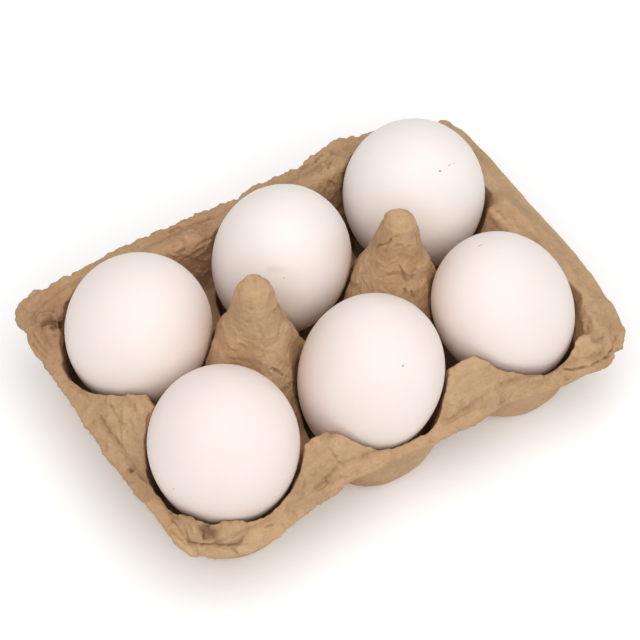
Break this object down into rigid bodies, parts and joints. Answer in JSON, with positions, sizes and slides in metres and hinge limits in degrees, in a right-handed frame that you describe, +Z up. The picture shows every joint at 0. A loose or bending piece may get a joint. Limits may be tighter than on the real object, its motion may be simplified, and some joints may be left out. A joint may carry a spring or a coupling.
{
  "type": "egg carton with eggs",
  "caption": "Moulded-pulp carton base without its lid, with round cups in two rows, tall posts between them and a white hen's egg standing in every cup",
  "frame": {"origin": "on the surface the carton stands on, under the middle of its box", "axes": "+X along the long side, +Y towards the torn hinge side, +Z up"},
  "size_m": [0.162, 0.1092, 0.0696],
  "materials": {
    "pulp": "matt, fibrous",
    "eggshell": "matt"
  },
  "bodies": {
    "root": {"pulp_tray": "pulp", "egg_back_left": "eggshell", "egg_back_middle": "eggshell", "egg_back_right": "eggshell", "egg_front_left": "eggshell", "egg_front_middle": "eggshell", "egg_front_right": "eggshell"}
  },
  "joints": []
}
